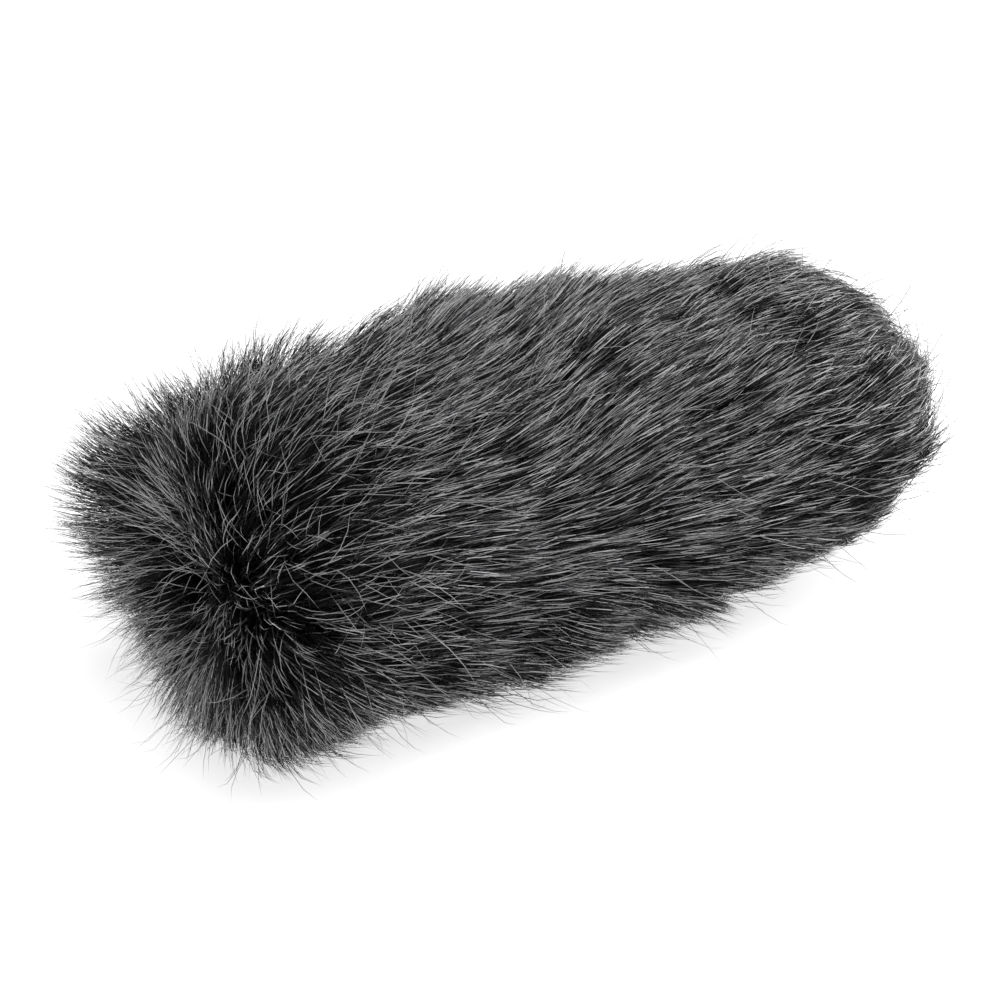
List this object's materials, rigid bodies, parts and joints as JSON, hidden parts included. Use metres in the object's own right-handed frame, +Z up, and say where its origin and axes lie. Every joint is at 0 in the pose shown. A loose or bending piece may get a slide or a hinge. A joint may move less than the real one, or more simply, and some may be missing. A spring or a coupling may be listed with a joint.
{
  "type": "furry windscreen",
  "caption": "Slip-on fur windscreen for a shotgun microphone: long-pile fabric cover over a foam core with a rubber grip ring inside its elastic mouth.",
  "frame": {"origin": "centre of the flattened underside, on the surface that the windscreen lies on", "axes": "+X along the windscreen's axis towards the closed nose, +Z up, the mouth faces -X"},
  "size_m": [0.234, 0.11, 0.102],
  "materials": {
    "fur": "long-pile charcoal faux fur with pale guard-hair tips",
    "thread": "twisted polyester sewing thread",
    "seam_tape": "woven twill tape",
    "binding": "woven binding tape",
    "elastic": "braided elastic",
    "foam": "open-cell polyurethane foam",
    "lining": "knitted spacer mesh",
    "rubber": "moulded matt rubber"
  },
  "bodies": {
    "root": {"fur_upper_panel": "fur", "fur_lower_panel": "fur", "fur_mouth_panel": "fur", "side_seam_thread": "thread", "side_seam_tape": "seam_tape", "mouth_seam_thread": "thread", "mouth_seam_tape": "seam_tape", "hem_binding": "binding", "hem_thread": "thread", "elastic_band": "elastic", "foam_sleeve": "foam", "foam_nose_plug": "foam", "foam_end_ring": "foam", "bore_lining": "lining", "grip_ring": "rubber"}
  },
  "joints": []
}
